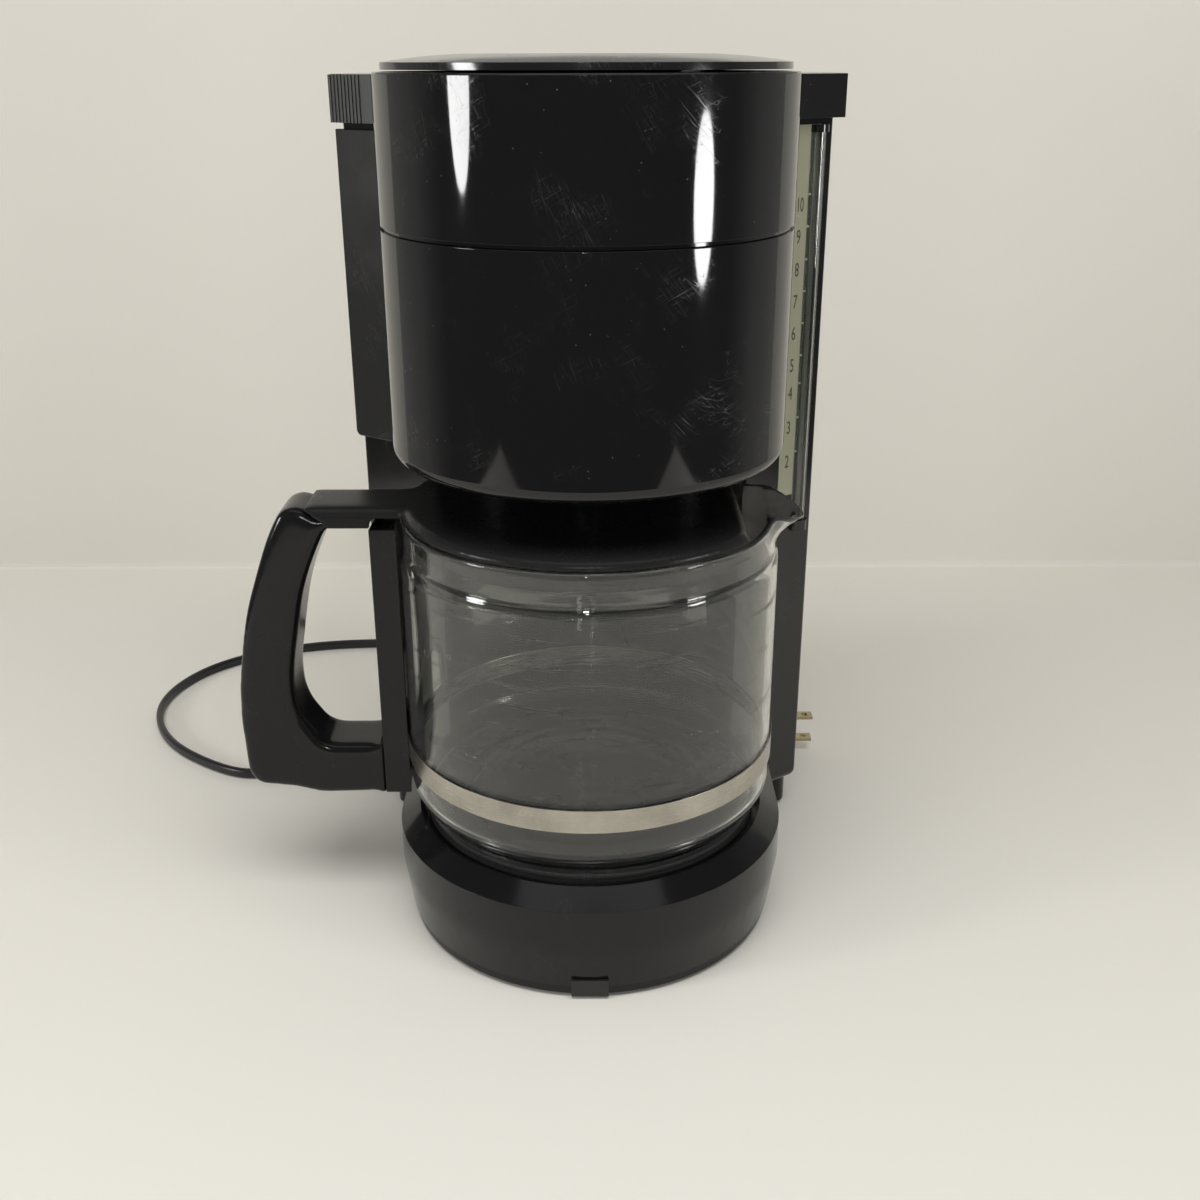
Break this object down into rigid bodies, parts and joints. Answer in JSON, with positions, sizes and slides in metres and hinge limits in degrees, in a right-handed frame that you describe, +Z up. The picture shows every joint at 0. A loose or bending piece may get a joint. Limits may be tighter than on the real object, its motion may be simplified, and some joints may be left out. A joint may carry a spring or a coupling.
{
  "type": "drip coffee maker",
  "caption": "Drip coffee maker: a round filter drum that swings out from a water tower, over a glass jug with a steel band that stands on a round warming plate.",
  "frame": {"origin": "centre of the machine's footprint box on the table, cord and plug left out", "axes": "+Z up; -Y is the front, where the jug slides out; +X is the machine's right, seen from the front, and the jug's handle points to -X"},
  "size_m": [0.3616, 0.3444, 0.3424],
  "materials": {
    "black_gloss": "smooth moulded, high gloss",
    "black_satin": "fine satin moulding",
    "black_handle": "smooth moulded, soft gloss",
    "plate_coating": "baked non-stick coating",
    "rubber_black": "matte rubber",
    "cord_black": "flexible vinyl, satin",
    "silicone_white": "translucent white silicone",
    "silicone_grey": "grey silicone",
    "aluminium_bare": "extruded, bare",
    "zinc_steel": "zinc plated",
    "spring_steel": "drawn wire",
    "band_steel": "polished stainless strip",
    "nickel_blades": "nickel plated brass",
    "phenolic_brown": "moulded phenolic",
    "white_plastic": "natural moulded plastic",
    "smoke_plastic": "smoke moulded plastic",
    "scale_grey": "pale moulded strip with printed marks",
    "rocker_grey": "smooth moulded, pale",
    "clear_plastic": "clear extruded tube",
    "jug_glass": "clear blown glass"
  },
  "bodies": {
    "machine": {"base_shell": "black_gloss", "base_pan": "black_satin", "rubber_feet": "rubber_black", "front_foot": "rubber_black", "pan_screws": "zinc_steel", "warming_plate": "plate_coating", "plate_seal": "silicone_grey", "heater_rod": "aluminium_bare", "boiler_tube": "aluminium_bare", "heater_clamp": "zinc_steel", "clamp_screws": "zinc_steel", "thermostat": "phenolic_brown", "thermal_fuse": "zinc_steel", "inlet_hose": "silicone_white", "outlet_hose": "silicone_white", "hose_clips": "zinc_steel", "check_valve": "silicone_grey", "riser_tube": "white_plastic", "riser_seal": "silicone_grey", "water_arm": "black_satin", "spray_plate": "black_satin", "tower_shell": "black_satin", "tower_back": "black_satin", "back_screws": "zinc_steel", "water_tank": "smoke_plastic", "gauge_tube": "clear_plastic", "gauge_plugs": "black_satin", "gauge_scale": "scale_grey", "switch_bezel": "black_satin", "swing_pin": "zinc_steel", "strain_relief": "cord_black", "power_cord": "cord_black", "plug_body": "cord_black", "plug_blades": "nickel_blades"},
    "rocker": {"switch_rocker": "rocker_grey"},
    "cover": {"top_cover": "black_gloss", "cover_pins": "zinc_steel"},
    "drum": {"drum_body": "black_gloss", "drum_collar": "black_gloss", "wing_panel": "black_satin", "pull_grip": "black_satin", "filter_cone": "black_satin", "valve_spring": "spring_steel"},
    "valve": {"drip_valve": "black_satin", "valve_seal": "silicone_grey"},
    "jug": {"glass_jug": "jug_glass", "steel_band": "band_steel", "band_screw": "band_steel", "handle_post": "black_handle", "handle_grip": "black_handle", "jug_lid": "black_handle"}
  },
  "joints": [
    {"name": "drum_swing", "type": "hinge", "parent": "machine", "child": "drum", "pos_m": [0.09735, 0.0335, 0.26], "axis": [0, 0, 1], "range_deg": [0, 95]},
    {"name": "cover_hinge", "type": "hinge", "parent": "machine", "child": "cover", "pos_m": [0.02035, 0.0935, 0.3285], "axis": [-1, 0, 0], "range_deg": [0, 80]},
    {"name": "jug_slide", "type": "slide", "parent": "machine", "child": "jug", "axis": [0, -1, 0], "range_m": [0, 0.2]},
    {"name": "drip_valve", "type": "slide", "parent": "drum", "child": "valve", "axis": [0, 0, 1], "range_m": [-0.0035, 0], "deforming": ["valve_spring"]},
    {"name": "switch_press", "type": "hinge", "parent": "machine", "child": "rocker", "pos_m": [-0.05104, 0.03318, 0.0815], "axis": [0.8192, -0.5736, 0], "range_deg": [-6, 6]}
  ],
  "couplings": [
    {"joint": "drip_valve", "follows": "jug_slide", "ratio": -0.0175}
  ]
}
